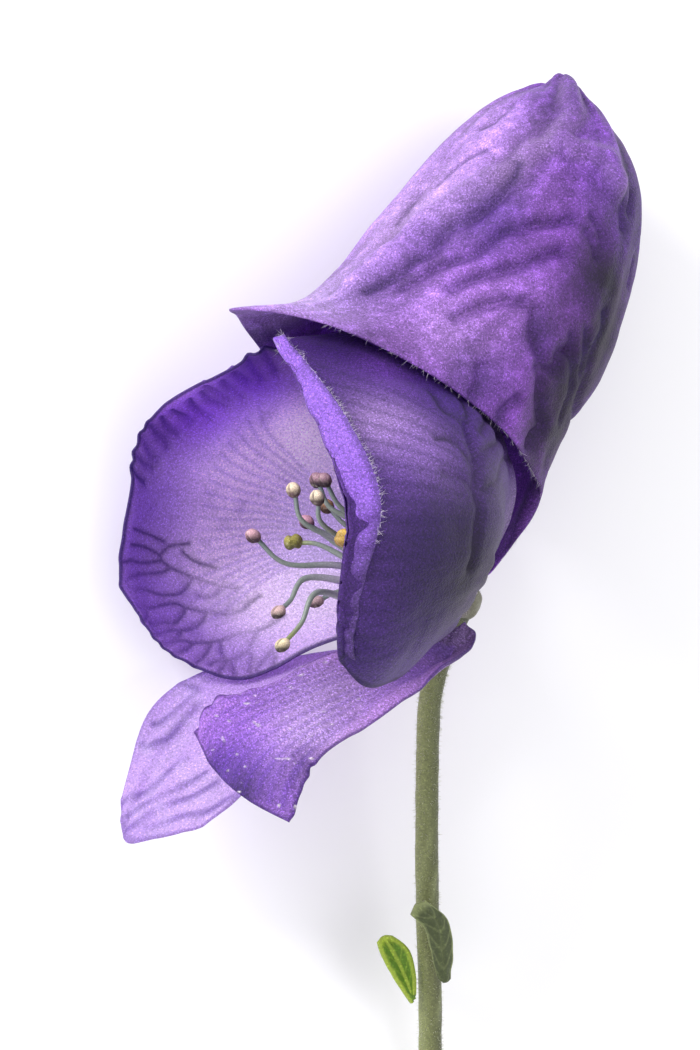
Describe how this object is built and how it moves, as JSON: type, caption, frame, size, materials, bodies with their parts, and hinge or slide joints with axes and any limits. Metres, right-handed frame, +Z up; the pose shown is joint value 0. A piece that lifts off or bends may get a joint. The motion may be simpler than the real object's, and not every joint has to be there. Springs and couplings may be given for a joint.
{
  "type": "flower",
  "caption": "Monkshood flower with a tall helmet-shaped hood, cupped side sepals, drooping lower sepals, stamens, and a cut stalk with small leaflets, lying on its side.",
  "frame": {"origin": "on the surface the flower lies on, under the middle of its bounding box", "axes": "+Y up the flower, from the cut end of the stalk to the top of the hood; +Z up from the surface, towards the left side of the flower; +X out of the back of the flower, so that the open face looks towards -X"},
  "size_m": [0.0276, 0.0544, 0.0217],
  "materials": {
    "hood_violet": "silky violet petal skin, paler along its front",
    "sepal_violet": "silky deep violet petal skin",
    "pale_sepal_violet": "silky petal skin, pale lilac with a violet margin and dark veins",
    "nectary_lilac": "smooth, translucent",
    "stamen_buff": "grey-green translucent filament, powdery buff anther",
    "carpel_green": "smooth green",
    "bracteole_green": "soft green leaf skin",
    "stalk_green": "green stalk with fine short down"
  },
  "bodies": {
    "root": {"hood": "hood_violet", "left_lateral_sepal": "sepal_violet", "right_lateral_sepal": "pale_sepal_violet", "left_lower_sepal": "sepal_violet", "right_lower_sepal": "pale_sepal_violet", "left_nectary": "nectary_lilac", "right_nectary": "nectary_lilac", "stamen_01": "stamen_buff", "stamen_02": "stamen_buff", "stamen_03": "stamen_buff", "stamen_04": "stamen_buff", "stamen_05": "stamen_buff", "stamen_06": "stamen_buff", "stamen_07": "stamen_buff", "stamen_08": "stamen_buff", "stamen_09": "stamen_buff", "stamen_10": "stamen_buff", "stamen_11": "stamen_buff", "stamen_12": "stamen_buff", "stamen_13": "stamen_buff", "stamen_14": "stamen_buff", "stamen_15": "stamen_buff", "stamen_16": "stamen_buff", "stamen_17": "stamen_buff", "stamen_18": "stamen_buff", "stamen_19": "stamen_buff", "stamen_20": "stamen_buff", "stamen_21": "stamen_buff", "stamen_22": "stamen_buff", "carpel_1": "carpel_green", "carpel_2": "carpel_green", "carpel_3": "carpel_green", "stalk_and_receptacle": "stalk_green", "left_bracteole": "bracteole_green", "right_bracteole": "bracteole_green"}
  },
  "joints": []
}
